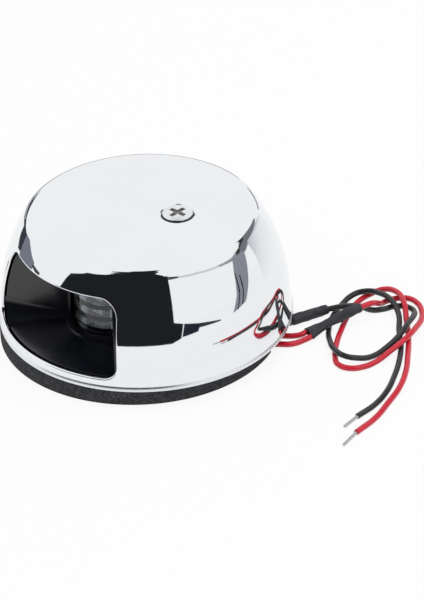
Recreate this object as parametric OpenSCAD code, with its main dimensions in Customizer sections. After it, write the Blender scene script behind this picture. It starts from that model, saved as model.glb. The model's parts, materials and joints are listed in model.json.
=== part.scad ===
// Round stainless navigation light: a domed cap with one side window over a
// black base that carries a shroud, a clear lens and a LED board. A foam gasket
// lies under the base and two spliced supply leads come out beside it.
// Millimetres. Origin: centre of the gasket's underside. +Z up, window to -Y.

/* [Cover] */
// Outer diameter at the rim lip
cover_diameter = 80; // [79:0.5:83]
// Height of the flat top over the mounting face
cover_height = 36.6; // [36:0.2:38]
// Sheet thickness
cover_wall = 0.8; // [0.6:0.1:0.9]
// Outside radius of the corner round the flat top
corner_radius = 2.2; // [1.8:0.2:3]

/* [Window] */
// Angle from the middle of the window to its side edges
window_half_angle = 35.6; // [32:0.2:36]
// Height of the window's lower edge
window_bottom = 8.3; // [8.2:0.1:9.5]
// Height of the window's upper edge
window_top = 30.2; // [28.5:0.1:30.4]

/* [Base and gasket] */
// Thickness of the foam gasket
gasket_thickness = 5; // [5:0.1:5]
// Distance between the two mounting holes
mount_spacing = 56; // [52:1:58]
// Diameter of the mounting holes
mount_hole_diameter = 4.5; // [3.5:0.1:5]

/* [Light] */
// Outer diameter of the lens
lens_diameter = 19.8; // [19:0.2:20]
// Height of the lens top over the mounting face
lens_top = 29.5; // [27:0.1:30]
// Angle from the middle of the beam to each shroud wall
shroud_half_angle = 49.3; // [47:0.1:50]

/* [Leads] */
// Diameter of the insulated leads
lead_diameter = 1.6; // [1.4:0.05:1.6]

/* [Hidden] */

// Heights of the layers
base_z = gasket_thickness;
// The gasket is stuck on a little off the centre
gasket_at = [-1.2, -1.35];
base_t = 2.5;
floor_z = base_z + base_t;
floor_t = 1.1;

// Cover section: lip, tapered wall, wide arc, corner, flat top
rim_r = cover_diameter / 2;
wall_r = rim_r - 0.3;
taper = 3.8;
arc_start_z = 13;
arc_start_r = wall_r - (arc_start_z - base_z - 1.2) * tan(taper);
arc_r = 47.3;
arc_cx = arc_start_r - arc_r * cos(taper);
arc_cz = arc_start_z - arc_r * sin(taper);
corner_z = cover_height - corner_radius;
corner_x = arc_cx + sqrt(pow(arc_r - corner_radius, 2) - pow(corner_z - arc_cz, 2));
corner_a = atan2(corner_z - arc_cz, corner_x - arc_cx);
arc_steps = 9;
corner_steps = 5;

// Outer line of the cap moved inward by d, from the rim up to the axis
function cap_line(d) = concat(
    [[rim_r - d - 0.2, base_z], [rim_r - d, base_z + 0.35], [rim_r - d, base_z + 0.6],
        [wall_r - d, base_z + 1.2]],
    [for (i = [0 : arc_steps])
        let (a = taper + (corner_a - taper) * i / arc_steps)
        [arc_cx + (arc_r - d) * cos(a), arc_cz + (arc_r - d) * sin(a)]],
    [for (i = [1 : corner_steps])
        let (a = corner_a + (90 - corner_a) * i / corner_steps)
        [corner_x + (corner_radius - d) * cos(a), corner_z + (corner_radius - d) * sin(a)]]
);

// Space that the shroud keeps to: the cap's inside less a gap
inside_gap = cover_wall + 0.5;
inside_top = cover_height - inside_gap;

// Cover screw, raised countersunk, and the dimple it sits in
screw_at = [7.7, 5.9];
screw_head_r = 4.1;
screw_shank_r = 2;
screw_length = 12;
dimple_r = 4.65;
dimple_hole_r = 2.45;
dimple_low = cover_height - (dimple_r - dimple_hole_r);
funnel_low = dimple_low - 0.75;
head_offset = 0.636;
head_rim_z = cover_height - (dimple_r - head_offset - screw_head_r);
head_edge = 0.16;
head_dome = 0.3;
dome_r = (head_dome * head_dome + screw_head_r * screw_head_r) / (2 * head_dome);
shank_z = head_rim_z - (screw_head_r - screw_shank_r);
seal_gap = 0.07;
seal_low = dimple_low + 0.55;
seal_high = cover_height - 0.2;

// Boss and brass insert under the screw
boss_top = funnel_low - 0.05;
boss_r = 5.2;
insert_r = 3.6;
insert_low = boss_top - 8.6;

// Lens and shroud
lens_at = [0, -12.6];
lens_r = lens_diameter / 2;
lens_bore_r = lens_r - 1.7;
flange_r = 11.3;
flange_z = floor_z + 0.4;
flange_t = 0.65;
seat_z = floor_z + floor_t;
rib_step = 2;
rib_count = 8;
shroud_wall = 1.6;
ceiling_z = 31.2;
ceiling_t = 1;
back_r = 11;
shroud_boss_at = [14.1, -7.5];

// LED board and its holder
board_x = 5;
board_y = -16.4;
board_t = 1;
board_low = 11;
board_high = 26;
holder_x = 6.2;

// Wire seal
seal_at = [0, -13];
wire_seal_r = 4.15;
wire_seal_low = base_z - 0.8;
wire_seal_high = floor_z + 2;

// Lead section
lead_r = lead_diameter / 2;

// Tails from the wire seal along the gasket channel to the sleeves
red_tail_a_route = [
    [0.8, -13.7, 4.2], [1, -13.3, 2.6], [1.8, -12.5, 1.4], [2.9, -11.2, 1], [17.5, 6, 1],
    [31, 20.8, 0.9], [33.4, 23, 0.9], [34.7, 24.8, 1.1], [35.1, 26.3, 1.4]
];
red_tail_b_route = [
    [2.3, -15, 4.2], [2.6, -14.6, 2.6], [3.3, -13.8, 1.4], [4.4, -12.6, 1], [19.5, 2.5, 1],
    [33, 17, 0.9], [36, 20, 0.9], [37.3, 24.2, 1.1], [37.7, 25.7, 1.4]
];
black_tail_a_route = [
    [-0.8, -12.3, 4.2], [-0.5, -12, 2.6], [0.3, -11.1, 1.4], [1.3, -9.9, 1], [14.5, 8, 1],
    [26, 22, 1], [28.3, 25.5, 1.3], [28.9, 27.1, 1.4]
];
black_tail_b_route = [
    [-2.3, -11, 4.2], [-2, -10.7, 2.6], [-1.2, -9.8, 1.4], [-0.2, -8.6, 1], [12.5, 9.5, 1],
    [24.2, 22.8, 1], [26.7, 26.1, 1.3], [27.3, 27.7, 1.4]
];

// Splice sleeves, with the half width and half height of each ring
red_sleeve_route = [
    [36.4, 26, 1.5], [37.1, 28.7, 2.1], [38, 31, 2.9], [38.8, 35.2, 3.6], [40.2, 38.4, 4.6],
    [41, 41.5, 4.9]
];
red_sleeve_half = [[2.6, 1.35], [2.1, 1.4], [1.6, 1.4], [1.5, 1.45], [1.45, 1.45], [1.3, 1.3]];
black_sleeve_route = [
    [28.1, 27.4, 1.5], [30.1, 32.8, 1.7], [31.2, 35.3, 2], [32.5, 37.5, 2.4]
];
black_sleeve_half = [[1.9, 1.4], [1.6, 1.5], [1.5, 1.45], [1.3, 1.3]];

// Supply leads, coiled together
red_lead_route = [
    [41, 41.5, 4.9], [41.4, 43.5, 4.95], [41.3, 45.9, 4.3], [40.6, 48.4, 2.8],
    [39.8, 50.8, 1.3], [39.6, 53.2, 0.85], [40.8, 56.2, 0.85], [43.2, 58.2, 0.85],
    [46.6, 58, 0.85], [50, 56, 0.9], [53.2, 52.6, 1.3], [56, 47.5, 2.2], [58.5, 40.5, 2.8],
    [59, 34.5, 2.2], [58.6, 29, 1], [57.6, 25, 0.85], [55.4, 22.2, 0.85], [52, 21.5, 0.85],
    [48.6, 23.8, 0.85], [44.5, 28.5, 0.85], [40.5, 34.5, 0.85], [36.5, 41.5, 0.85],
    [34, 48, 0.85], [34, 52.5, 1], [36, 55.5, 2], [40, 56.2, 2.75], [45, 54, 2.75],
    [50.5, 49.5, 0.9], [57, 43.5, 0.85], [62.5, 37.5, 0.85], [67.5, 31.5, 0.85],
    [71.5, 25, 0.85], [74.5, 17.5, 0.85], [77, 10, 0.85], [78, 2, 0.85]
];
black_lead_route = [
    [32.5, 37.5, 2.4], [35, 41, 2.75], [37.5, 44, 2.5], [40, 47, 0.95], [41.8, 49.6, 0.85],
    [42.8, 52.2, 0.85], [44.5, 54.2, 0.85], [46.8, 54.9, 0.85], [49.2, 53.9, 1.2],
    [51.3, 51.4, 2], [53.4, 47.2, 2.7], [55.5, 42.5, 2.8], [56.5, 36.5, 1.9], [56, 30.5, 0.95],
    [54.5, 26, 1.9], [51.8, 23.6, 2.7], [48.3, 24, 2.75], [43.5, 27, 1.8], [38.5, 31.5, 0.85],
    [34.5, 37, 0.85], [32, 43, 0.85], [32, 47.5, 2.1], [34, 50.7, 2.75], [37.5, 52.5, 2.8],
    [42.5, 52, 2.75], [47.5, 49.5, 1.8], [52.5, 44.5, 0.85], [58, 39.5, 0.85], [63, 33.5, 0.85],
    [67, 27.5, 0.85], [70.5, 21, 0.85], [72.5, 14.5, 0.85], [73, 7.5, 0.85]
];
red_tip_route = [[78, 2, 0.85], [78.7, -1.1, 0.7], [79.4, -4.2, 0.6]];
black_tip_route = [[73, 7.5, 0.85], [73.3, 4.7, 0.7], [73.6, 2, 0.6]];
tip_r = 0.45;

// Direction along a route at point i
function unit(v) = v / norm(v);
function along(p, i) =
    i == 0 ? unit(p[1] - p[0]) :
    i == len(p) - 1 ? unit(p[i] - p[i - 1]) :
    unit(unit(p[i + 1] - p[i]) + unit(p[i] - p[i - 1]));

// Sideways direction of a ring, kept level except on a vertical start
function across(p, i) =
    let (t = along(p, i), s = cross(t, [0, 0, 1]))
    norm(s) > 0.05 ? unit(s) : across(p, i + 1);

// Points of the rings of a tube, half = [half width, half height] of each ring
function rings(p, half, n) = [
    for (i = [0 : len(p) - 1])
        let (t = along(p, i), s = unit(across(p, i) - t * (across(p, i) * t)), u = cross(s, t))
        for (k = [0 : n - 1])
            p[i] + s * half[i][0] * cos(360 * (k + 0.5) / n) + u * half[i][1] * sin(360 * (k + 0.5) / n)
];

// Faces of the tube, with a flat cap at each end
function ring_faces(m, n) = concat(
    [[for (k = [0 : n - 1]) k]],
    [[for (k = [n - 1 : -1 : 0]) (m - 1) * n + k]],
    [for (i = [0 : m - 2]) for (k = [0 : n - 1])
        [i * n + k, (i + 1) * n + k, (i + 1) * n + (k + 1) % n, i * n + (k + 1) % n]]
);

// Round or flattened tube along a route
module tube(p, half) {
    n = 8;
    polyhedron(points = rings(p, half, n), faces = ring_faces(len(p), n));
}

// Insulated lead along a route
module lead(p) {
    tube(p, [for (q = p) [lead_r, lead_r]]);
}

// Solid of the cap's outer line moved inward by d
module cap_solid(d, top) {
    rotate_extrude($fn = 96)
        polygon(concat([[0, base_z]], cap_line(d), [[0, top]]));
}

// Cone frustum or cylinder from height z1 to z2
module turned(at, z1, z2, r1, r2, n) {
    translate([at[0], at[1], z1])
        cylinder(h = z2 - z1, r1 = r1, r2 = r2, $fn = n);
}

// Window cutter: four rounded corners drawn from the axis outward
module window_cutter() {
    top_r = 5;
    low_r = 3.5;
    mean_r = 36.5;
    hull()
        for (s = [-1, 1]) {
            rotate([0, 0, s * (window_half_angle - asin(top_r / mean_r))])
                translate([0, -20, window_top - top_r])
                    rotate([90, 0, 0])
                        cylinder(h = 26, r = top_r, $fn = 32);
            rotate([0, 0, s * (window_half_angle - asin(low_r / mean_r))])
                translate([0, -20, window_bottom + low_r])
                    rotate([90, 0, 0])
                        cylinder(h = 26, r = low_r, $fn = 32);
        }
}

// Polished cap with its window and the dimple for the screw
module cover() {
    color("#D9DCE0")
        difference() {
            union() {
                difference() {
                    cap_solid(0, cover_height);
                    translate([0, 0, -0.01])
                        cap_solid(cover_wall, cover_height - cover_wall);
                    window_cutter();
                }
                turned(screw_at, funnel_low, dimple_low - 0.33, dimple_hole_r + 0.8, dimple_hole_r + 0.8, 48);
                turned(screw_at, dimple_low - 0.33, cover_height - 0.4, dimple_hole_r + 0.8,
                    dimple_hole_r + 0.8 + cover_height - 0.07 - dimple_low, 48);
            }
            turned(screw_at, funnel_low - 1, cover_height + 1, dimple_hole_r, dimple_hole_r, 48);
            turned(screw_at, dimple_low, cover_height + 0.5, dimple_hole_r, dimple_r + 0.5, 48);
        }
}

// Raised countersunk screw with a cross recess
module cover_screw() {
    dome_steps = 5;
    dome_a = asin(screw_head_r / dome_r);
    color("#CFD2D6")
        translate([screw_at[0], screw_at[1], 0])
            difference() {
                rotate_extrude($fn = 48)
                    polygon(concat(
                        [[0, shank_z - screw_length + 2.3], [screw_shank_r - 0.5, shank_z - screw_length + 2.3],
                            [screw_shank_r, shank_z - screw_length + 2.9], [screw_shank_r, shank_z],
                            [screw_head_r, head_rim_z]],
                        [for (i = [0 : dome_steps])
                            let (a = dome_a * (1 - i / dome_steps))
                            [dome_r * sin(a), head_rim_z + head_edge + head_dome - dome_r * (1 - cos(a))]]
                    ));
                for (a = [0, 90])
                    rotate([0, 0, a + 3])
                        translate([-2.5, -0.6, head_rim_z - 1.4])
                            cube([5, 1.2, 4]);
                translate([0, 0, head_rim_z - 1.6])
                    cylinder(h = 4, r1 = 0.5, r2 = 1.6, $fn = 24);
            }
}

// Dark ring between the screw head and the dimple
module screw_seal() {
    color("#1C1D1F")
        translate([screw_at[0], screw_at[1], 0])
            rotate_extrude($fn = 48)
                polygon([
                    [dimple_hole_r + seal_low - dimple_low - seal_gap, seal_low],
                    [dimple_hole_r + seal_high - dimple_low - seal_gap, seal_high],
                    [dimple_hole_r + seal_high - dimple_low - head_offset + seal_gap, seal_high],
                    [dimple_hole_r + seal_low - dimple_low - head_offset + seal_gap, seal_low]
                ]);
}

// Black disc with the screw boss and its holes
module base_plate() {
    color("#202124")
        difference() {
            union() {
                turned([0, 0], base_z, floor_z, 38.2, 38.2, 96);
                turned(screw_at, floor_z - 0.5, boss_top, boss_r, boss_r, 48);
                for (a = [0 : 90 : 270])
                    translate([screw_at[0], screw_at[1], 0])
                        rotate([0, 0, a + 45])
                            translate([boss_r - 0.6, -0.7, floor_z - 0.5])
                                cube([2.4, 1.4, 15]);
            }
            turned(screw_at, insert_low, boss_top + 1, insert_r + 0.05, insert_r + 0.05, 48);
            turned(screw_at, insert_low - 2.8, insert_low + 0.5, dimple_hole_r, dimple_hole_r, 32);
            for (s = [-1, 1]) {
                turned([s * mount_spacing / 2, 0], base_z - 1, floor_z + 1,
                    mount_hole_diameter / 2, mount_hole_diameter / 2, 32);
                turned([s * shroud_boss_at[0], shroud_boss_at[1]], base_z - 1, floor_z + 1, 1.7, 1.7, 32);
                turned([s * shroud_boss_at[0], shroud_boss_at[1]], base_z - 0.5, base_z + 1.25, 3.45, 1.7, 32);
            }
            turned(seal_at, base_z - 1, floor_z + 1, wire_seal_r + 0.05, wire_seal_r + 0.05, 48);
        }
}

// Brass insert in the boss
module screw_insert() {
    color("#B08D4A")
        difference() {
            turned(screw_at, insert_low, boss_top, insert_r, insert_r, 48);
            turned(screw_at, insert_low - 1, boss_top + 1, screw_shank_r + 0.05, screw_shank_r + 0.05, 48);
        }
}

// Foam disc with a wire channel in its underside
module foam_gasket() {
    channel_a = 49;
    color("#3A3B3D")
        difference() {
            turned(gasket_at, 0, gasket_thickness, 38.3, 38.3, 96);
            for (s = [-1, 1])
                turned([s * mount_spacing / 2, 0], -1, gasket_thickness + 1,
                    mount_hole_diameter / 2, mount_hole_diameter / 2, 32);
            turned(seal_at, -1, gasket_thickness + 1, 6, 6, 48);
            translate([seal_at[0], seal_at[1], -1])
                rotate([0, 0, channel_a])
                    linear_extrude(3.2)
                        polygon([[0, -4.6], [60, -9], [60, 9], [0, 4.6]]);
        }
}

// Plan of the beam fan, moved outward by d, about the lens centre
module fan(d) {
    far = 60;
    translate([lens_at[0], lens_at[1]])
        polygon([
            [0, d / sin(shroud_half_angle)],
            [far * sin(shroud_half_angle) + d * cos(shroud_half_angle),
                -far * cos(shroud_half_angle) + d * sin(shroud_half_angle)],
            [0, -3 * far],
            [-far * sin(shroud_half_angle) - d * cos(shroud_half_angle),
                -far * cos(shroud_half_angle) + d * sin(shroud_half_angle)]
        ]);
}

// Black box behind the window: floor, walls, back round the lens, ceiling
module light_shroud() {
    color("#17181A")
        difference() {
            union() {
                intersection() {
                    cap_solid(inside_gap, inside_top);
                    translate([0, 0, floor_z])
                        linear_extrude(ceiling_z + ceiling_t - floor_z)
                            fan(shroud_wall);
                }
                turned(lens_at, floor_z, ceiling_z + ceiling_t, back_r + shroud_wall, back_r + shroud_wall, 64);
                for (s = [-1, 1])
                    turned([s * shroud_boss_at[0], shroud_boss_at[1]], floor_z, floor_z + 9.5, 3, 3, 32);
            }
            intersection() {
                translate([0, 0, seat_z])
                    linear_extrude(ceiling_z - seat_z)
                        fan(0);
                difference() {
                    turned([0, 0], seat_z, ceiling_z, 50, 50, 64);
                    turned(lens_at, seat_z - 1, seat_z + 0.8, back_r + 1.3, back_r + 1.3, 64);
                }
            }
            turned(lens_at, seat_z + 0.8, ceiling_z, back_r, back_r, 64);
            turned(lens_at, floor_z - 1, seat_z, flange_r + 0.3, flange_r + 0.3, 64);
            turned(lens_at, floor_z - 1, seat_z + 2, 10.2, 10.2, 64);
            for (s = [-1, 1])
                turned([s * shroud_boss_at[0], shroud_boss_at[1]], floor_z - 1, floor_z + 8.5, 1.55, 1.55, 32);
        }
}

// Two countersunk screws that hold the shroud from below
module shroud_screws() {
    color("#9DA0A4")
        for (s = [-1, 1])
            translate([s * shroud_boss_at[0], shroud_boss_at[1], base_z + 0.05])
                difference() {
                    union() {
                        cylinder(h = 0.2, r = 2.7, $fn = 32);
                        translate([0, 0, 0.2])
                            cylinder(h = 1.2, r1 = 2.7, r2 = 1.5, $fn = 32);
                        translate([0, 0, 1.3])
                            cylinder(h = 8.7, r = 1.5, $fn = 32);
                    }
                    for (a = [0, 90])
                        rotate([0, 0, a])
                            translate([-1.4, -0.3, -1])
                                cube([2.8, 0.6, 1.9]);
                }
}

// Clear ribbed cup with a flange at its foot
module lens() {
    color("#DCE6EA", 0.5)
        translate([lens_at[0], lens_at[1], 0])
            rotate_extrude($fn = 64)
                polygon(concat(
                    [[lens_bore_r, flange_z], [flange_r, flange_z], [flange_r, flange_z + flange_t],
                        [lens_r, flange_z + flange_t], [lens_r, lens_top - 0.8],
                        [lens_r - 0.8, lens_top], [0, lens_top], [0, lens_top - 1.5],
                        [lens_bore_r, lens_top - 1.5]],
                    [for (i = [rib_count - 1 : -1 : 0])
                        each [[lens_bore_r, 10.5 + rib_step * i + 1.4], [lens_bore_r + 0.6, 10.5 + rib_step * i + 0.7],
                            [lens_bore_r, 10.5 + rib_step * i]]]
                ));
}

// Flat ring under the lens flange
module lens_seal() {
    color("#1C1D1F")
        difference() {
            turned(lens_at, floor_z, flange_z, 11.2, 11.2, 64);
            turned(lens_at, floor_z - 1, flange_z + 1, 8.6, 8.6, 64);
        }
}

// Two slotted posts with a back plate between them
module board_holder() {
    color("#E4E4E0")
        difference() {
            union() {
                for (s = [-1, 1])
                    translate([s * (holder_x - 0.8) - 0.8, -17.2, floor_z])
                        cube([1.6, 3.2, board_high - floor_z]);
                translate([-holder_x, -14.4, 12])
                    cube([2 * holder_x, 1.2, board_high - 12]);
            }
            translate([-board_x - 0.1, board_y - 0.03, board_low - 0.05])
                cube([2 * board_x + 0.2, board_t + 0.06, 20]);
        }
}

// White board on edge in the holder
module led_board() {
    color("#2A2F3C")
        translate([-board_x, board_y, board_low])
            cube([2 * board_x, board_t, board_high - board_low]);
}

// LED packages on the board's front
module led_emitters() {
    color("#F2E7A8")
        for (z = [13.2, 17.4, 21.6])
            difference() {
                translate([-1.75, board_y - 1, z])
                    cube([3.5, 1, 2.8]);
                translate([0, board_y - 0.5, z + 1.4])
                    rotate([90, 0, 0])
                        cylinder(h = 1, r = 1.1, $fn = 24);
            }
}

// Small resistors beside the LED packages
module board_resistors() {
    color("#26272A")
        for (x = [-4.1, 2.9])
            translate([x, board_y - 0.5, 18])
                cube([1.2, 0.5, 2]);
}

// Four pins from the board to the wire seal
module board_pins() {
    color("#C9B26A")
        for (x = [-3 : 2 : 3])
            turned([x, board_y + board_t / 2], wire_seal_high, board_low, 0.4, 0.4, 16);
}

// Potted plug that the tails leave through
module wire_seal() {
    color("#2A2B2E")
        union() {
            turned(seal_at, wire_seal_low, base_z, 5.4, 5.4, 48);
            turned(seal_at, base_z - 0.1, wire_seal_high, wire_seal_r, wire_seal_r, 48);
        }
}

// First red tail
module red_tail_a() {
    color("#C8263A")
        lead(red_tail_a_route);
}

// Second red tail
module red_tail_b() {
    color("#C8263A")
        lead(red_tail_b_route);
}

// First black tail
module black_tail_a() {
    color("#2E2F33")
        lead(black_tail_a_route);
}

// Second black tail
module black_tail_b() {
    color("#2E2F33")
        lead(black_tail_b_route);
}

// Sleeve over the red splice, flared where the tails enter
module red_splice_sleeve() {
    color("#3C3E44")
        tube(red_sleeve_route, red_sleeve_half);
}

// Sleeve over the black splice
module black_splice_sleeve() {
    color("#3C3E44")
        tube(black_sleeve_route, black_sleeve_half);
}

// Red supply lead
module red_supply_lead() {
    color("#C8263A")
        lead(red_lead_route);
}

// Black supply lead
module black_supply_lead() {
    color("#2E2F33")
        lead(black_lead_route);
}

// Bare tinned strands of the red lead
module red_tinned_end() {
    color("#C8C9CB")
        tube(red_tip_route, [for (q = red_tip_route) [tip_r, tip_r]]);
}

// Bare tinned strands of the black lead
module black_tinned_end() {
    color("#C8C9CB")
        tube(black_tip_route, [for (q = black_tip_route) [tip_r, tip_r]]);
}

cover();
cover_screw();
screw_seal();
base_plate();
screw_insert();
foam_gasket();
light_shroud();
shroud_screws();
lens();
lens_seal();
board_holder();
led_board();
led_emitters();
board_resistors();
board_pins();
wire_seal();
red_tail_a();
red_tail_b();
black_tail_a();
black_tail_b();
red_splice_sleeve();
black_splice_sleeve();
red_supply_lead();
black_supply_lead();
red_tinned_end();
black_tinned_end();
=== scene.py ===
# %% [markdown]
# This lesson dresses a small round navigation light: a polished cap with one side
# window over a black base, a clear ribbed lens behind the window, a foam gasket
# underneath and two spliced supply leads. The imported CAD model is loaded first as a
# fixed frame. Its box is kept, so that the finished looks can be compared with it.

# %% Load the frame
import json
import math

import bmesh
import bpy
from mathutils import Matrix, Vector, noise

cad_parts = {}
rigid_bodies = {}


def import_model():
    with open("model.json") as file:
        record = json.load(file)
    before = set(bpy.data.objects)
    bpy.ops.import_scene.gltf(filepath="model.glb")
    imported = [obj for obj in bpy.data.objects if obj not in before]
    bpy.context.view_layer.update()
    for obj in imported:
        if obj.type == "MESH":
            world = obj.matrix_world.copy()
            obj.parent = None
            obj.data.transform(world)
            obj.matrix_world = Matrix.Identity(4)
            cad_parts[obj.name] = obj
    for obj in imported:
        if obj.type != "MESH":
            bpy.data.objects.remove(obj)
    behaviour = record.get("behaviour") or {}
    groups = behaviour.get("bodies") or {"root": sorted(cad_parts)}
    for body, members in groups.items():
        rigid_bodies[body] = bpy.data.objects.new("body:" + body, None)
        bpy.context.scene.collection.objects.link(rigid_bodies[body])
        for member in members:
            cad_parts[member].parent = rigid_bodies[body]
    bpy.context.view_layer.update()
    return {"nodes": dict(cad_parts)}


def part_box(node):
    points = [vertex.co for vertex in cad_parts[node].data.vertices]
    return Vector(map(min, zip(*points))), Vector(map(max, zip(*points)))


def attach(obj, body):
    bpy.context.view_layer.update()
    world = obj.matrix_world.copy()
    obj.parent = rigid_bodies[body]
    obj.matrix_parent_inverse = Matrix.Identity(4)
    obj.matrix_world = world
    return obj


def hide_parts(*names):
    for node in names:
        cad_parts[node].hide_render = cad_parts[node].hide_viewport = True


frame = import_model()
MM = 0.001

# %% [markdown]
# The camera stands in front and to the right of the light and looks down on it. A long
# lens from about a metre keeps the round cap from looking swollen. The camera's own
# axes are worked out from where it stands and where it aims, and a small roll follows,
# because the picture was taken with the camera a little tilted.

# %% Camera
CAMERA_DISTANCE = 1.092
CAMERA_AZIMUTH = math.radians(48.4)
CAMERA_HEIGHT = math.radians(32.87)
CAMERA_ROLL = math.radians(-2.0846)
CAMERA_AIM = Vector((0.0148375, 0.010711, 0.010))
CAMERA_LENS = 240


def heading(azimuth, height):
    """The unit direction at an azimuth from -Y towards +X and a height over the floor."""
    flat = math.cos(height)
    return Vector((math.sin(azimuth) * flat, -math.cos(azimuth) * flat, math.sin(height)))


def linked(name, data):
    """A new object that holds the data, put into the scene."""
    piece = bpy.data.objects.new(name, data)
    bpy.context.scene.collection.objects.link(piece)
    return piece


def camera_pose():
    """The camera's place and turn as one matrix."""
    place = CAMERA_DISTANCE * heading(CAMERA_AZIMUTH, CAMERA_HEIGHT)
    forward = (CAMERA_AIM - place).normalized()
    right = forward.cross(Vector((0, 0, 1))).normalized()
    up = right.cross(forward)
    side = right * math.cos(CAMERA_ROLL) + up * math.sin(CAMERA_ROLL)
    top = up * math.cos(CAMERA_ROLL) - right * math.sin(CAMERA_ROLL)
    pose = Matrix((side, top, -forward)).transposed().to_4x4()
    pose.translation = place
    return pose


camera = linked("camera", bpy.data.cameras.new("camera"))
camera.data.lens = CAMERA_LENS
camera.matrix_world = camera_pose()
bpy.context.scene.camera = camera
print("camera at", [round(x, 3) for x in camera.location])

# %% [markdown]
# The cords come next, because their routes settle how far the model spreads. Each lead is
# a curve with a round bevel: that keeps one smooth centreline whose length can be
# measured, where a swept mesh would have to be rebuilt for every change. The points lie
# on the table or on another lead, and automatic handles round the bends between them. The
# tube's size is set by the points' radius, because Blender counts that radius, and not the
# bevel's depth, when it works out a curve's box.

# %% Lead curves
LEAD_DIAMETER = 1.6


def lead(name, route):
    """An insulated lead along a route in millimetres, as a curve with a round section."""
    data = bpy.data.curves.new(name, "CURVE")
    data.dimensions = "3D"
    data.bevel_depth = 1.0
    data.bevel_resolution = 4
    data.resolution_u = 8
    data.use_fill_caps = True
    spline = data.splines.new("BEZIER")
    spline.bezier_points.add(len(route) - 1)
    for point, place in zip(spline.bezier_points, route):
        point.co = Vector(place) * MM
        point.radius = LEAD_DIAMETER / 2 * MM
        point.handle_left_type = "AUTO"
        point.handle_right_type = "AUTO"
    print(name, "is", round(spline.calc_length() / MM, 1), "mm long")
    return linked(name, data)


# %% [markdown]
# The two supply leads start in the splice sleeves, turn once and a half round a loose
# coil the size of a thumb, and run out side by side to their bare ends. The routes are the
# ones that the CAD solids follow.

# %% Supply leads
RED_LEAD = [
    (41, 41.5, 4.9), (41.4, 43.5, 4.95), (41.3, 45.9, 4.3), (40.6, 48.4, 2.8),
    (39.8, 50.8, 1.3), (39.6, 53.2, 0.85), (40.8, 56.2, 0.85), (43.2, 58.2, 0.85),
    (46.6, 58, 0.85), (50, 56, 0.9), (53.2, 52.6, 1.3), (56, 47.5, 2.2), (58.5, 40.5, 2.8),
    (59, 34.5, 2.2), (58.6, 29, 1), (57.6, 25, 0.85), (55.4, 22.2, 0.85), (52, 21.5, 0.85),
    (48.6, 23.8, 0.85), (44.5, 28.5, 0.85), (40.5, 34.5, 0.85), (36.5, 41.5, 0.85),
    (34, 48, 0.85), (34, 52.5, 1), (36, 55.5, 2), (40, 56.2, 2.75), (45, 54, 2.75),
    (50.5, 49.5, 0.9), (57, 43.5, 0.85), (62.5, 37.5, 0.85), (67.5, 31.5, 0.85),
    (71.5, 25, 0.85), (74.5, 17.5, 0.85), (77, 10, 0.85), (78, 2, 0.85),
]
BLACK_LEAD = [
    (32.5, 37.5, 2.4), (35, 41, 2.75), (37.5, 44, 2.5), (40, 47, 0.95), (41.8, 49.6, 0.85),
    (42.8, 52.2, 0.85), (44.5, 54.2, 0.85), (46.8, 54.9, 0.85), (49.2, 53.9, 1.2),
    (51.3, 51.4, 2), (53.4, 47.2, 2.7), (55.5, 42.5, 2.8), (56.5, 36.5, 1.9), (56, 30.5, 0.95),
    (54.5, 26, 1.9), (51.8, 23.6, 2.7), (48.3, 24, 2.75), (43.5, 27, 1.8), (38.5, 31.5, 0.85),
    (34.5, 37, 0.85), (32, 43, 0.85), (32, 47.5, 2.1), (34, 50.7, 2.75), (37.5, 52.5, 2.8),
    (42.5, 52, 2.75), (47.5, 49.5, 1.8), (52.5, 44.5, 0.85), (58, 39.5, 0.85), (63, 33.5, 0.85),
    (67, 27.5, 0.85), (70.5, 21, 0.85), (72.5, 14.5, 0.85), (73, 7.5, 0.85),
]
red_lead = lead("red_lead", RED_LEAD)
black_lead = lead("black_lead", BLACK_LEAD)

# %% [markdown]
# Four short tails leave the potted plug under the base, run side by side along the channel
# in the gasket's underside and end in the sleeves, two red ones and two black ones.

# %% Tails
TAILS = {
    "red_tail_near": [
        (0.8, -13.7, 4.2), (1, -13.3, 2.6), (1.8, -12.5, 1.4), (2.9, -11.2, 1), (17.5, 6, 1),
        (31, 20.8, 0.9), (33.4, 23, 0.9), (34.7, 24.8, 1.1), (35.1, 26.3, 1.4),
    ],
    "red_tail_far": [
        (2.3, -15, 4.2), (2.6, -14.6, 2.6), (3.3, -13.8, 1.4), (4.4, -12.6, 1), (19.5, 2.5, 1),
        (33, 17, 0.9), (36, 20, 0.9), (37.3, 24.2, 1.1), (37.7, 25.7, 1.4),
    ],
    "black_tail_near": [
        (-0.8, -12.3, 4.2), (-0.5, -12, 2.6), (0.3, -11.1, 1.4), (1.3, -9.9, 1), (14.5, 8, 1),
        (26, 22, 1), (28.3, 25.5, 1.3), (28.9, 27.1, 1.4),
    ],
    "black_tail_far": [
        (-2.3, -11, 4.2), (-2, -10.7, 2.6), (-1.2, -9.8, 1.4), (-0.2, -8.6, 1), (12.5, 9.5, 1),
        (24.2, 22.8, 1), (26.7, 26.1, 1.3), (27.3, 27.7, 1.4),
    ],
}
tails = {name: lead(name, route) for name, route in TAILS.items()}

# %% [markdown]
# The sleeves are heat-shrink tube: they grip the lead at one end, bulge over the solder
# joint and flare round the two tails at the other. Such a tube is a loft: one ring of
# edges is extruded from station to station, and each new ring is moved, turned and
# scaled by a matrix. A bevelled curve can't flatten its section along the way, and a
# loft can.

# %% Loft helper
def flowing(points, steps):
    """Points of a smooth line through the given ones, with that many steps between two."""
    ends = [2 * points[0] - points[1], *points, 2 * points[-1] - points[-2]]
    line = []
    for a, b, c, d in zip(ends, ends[1:], ends[2:], ends[3:]):
        for i in range(steps):
            t = i / steps
            line.append(
                b + (c - a) * (t / 2) + (a * 2 - b * 5 + c * 4 - d) * (t * t / 2)
                + (b * 3 - a - c * 3 + d) * (t ** 3 / 2)
            )
    return line + [points[-1]]


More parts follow.
